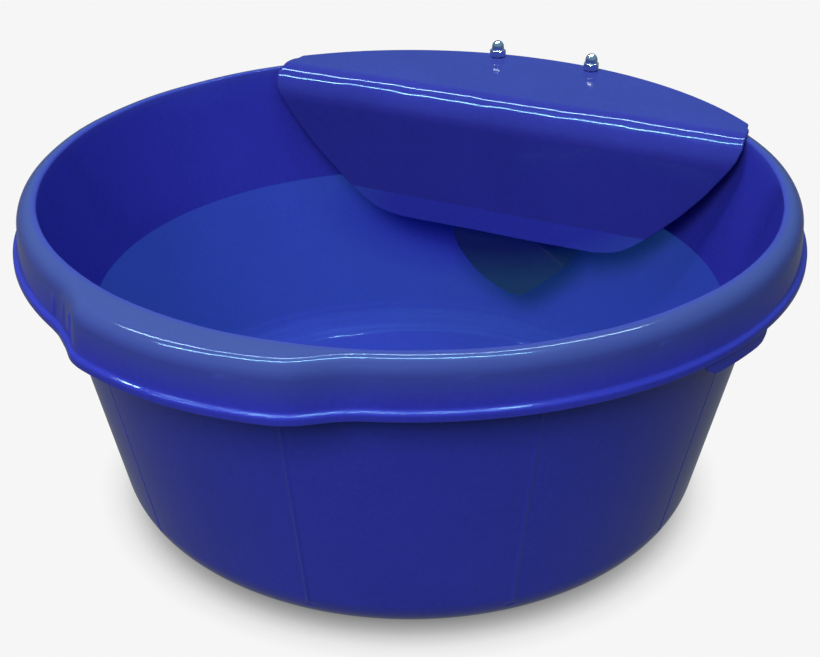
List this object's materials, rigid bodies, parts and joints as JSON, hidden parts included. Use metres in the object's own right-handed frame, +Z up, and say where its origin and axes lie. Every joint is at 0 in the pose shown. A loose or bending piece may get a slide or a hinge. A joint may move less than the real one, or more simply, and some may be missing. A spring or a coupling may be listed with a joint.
{
  "type": "float-valve water tub",
  "caption": "Round tapered moulded tub with a rolled rim and hand grips, a bent splash guard bolted to the rim, and a float valve behind the guard that keeps the water at its level.",
  "frame": {"origin": "centre of the base on the ground", "axes": "+Z up, +Y from the centre through the middle of the guard to the inlet side; the two hand grips lie 4 degrees off the Y axis"},
  "size_m": [0.6124, 0.65, 0.2869],
  "materials": {
    "tub_plastic": "moulded polypropylene, satin gloss",
    "guard_plastic": "glossy bent sheet",
    "polished_steel": "polished stainless steel",
    "zinc_steel": "zinc plated",
    "valve_nylon": "glass filled nylon",
    "float_plastic": "satin black",
    "white_acetal": "satin white",
    "seal_rubber": "matt black",
    "valve_brass": "machined"
  },
  "bodies": {
    "root": {"tub": "tub_plastic", "guard_cover": "guard_plastic", "guard_bolt_left": "zinc_steel", "guard_bolt_right": "zinc_steel", "dome_nut_left": "polished_steel", "dome_nut_right": "polished_steel", "valve_body": "valve_nylon", "valve_cap": "valve_nylon", "cap_o_ring": "seal_rubber", "valve_nozzle": "valve_brass", "inlet_filter": "white_acetal", "inner_seal_washer": "seal_rubber", "outer_seal_washer": "seal_rubber", "backnut_washer": "zinc_steel", "back_nut": "valve_nylon", "pivot_pin": "polished_steel"},
    "float_arm": {"lever": "valve_nylon", "float_shell": "float_plastic", "float_lid": "float_plastic", "float_screw": "polished_steel"},
    "piston": {"piston": "white_acetal", "piston_seal": "seal_rubber"}
  },
  "joints": [
    {"name": "float_hinge", "type": "hinge", "parent": "root", "child": "float_arm", "pos_m": [-0.045, 0.243, 0.165], "axis": [0, -1, 0], "range_deg": [0, 34]},
    {"name": "piston_slide", "type": "slide", "parent": "root", "child": "piston", "axis": [0, 0, 1], "range_m": [0, 0.0066]}
  ],
  "couplings": [
    {"joint": "piston_slide", "follows": "float_hinge", "m_per_rad": 0.010839}
  ]
}
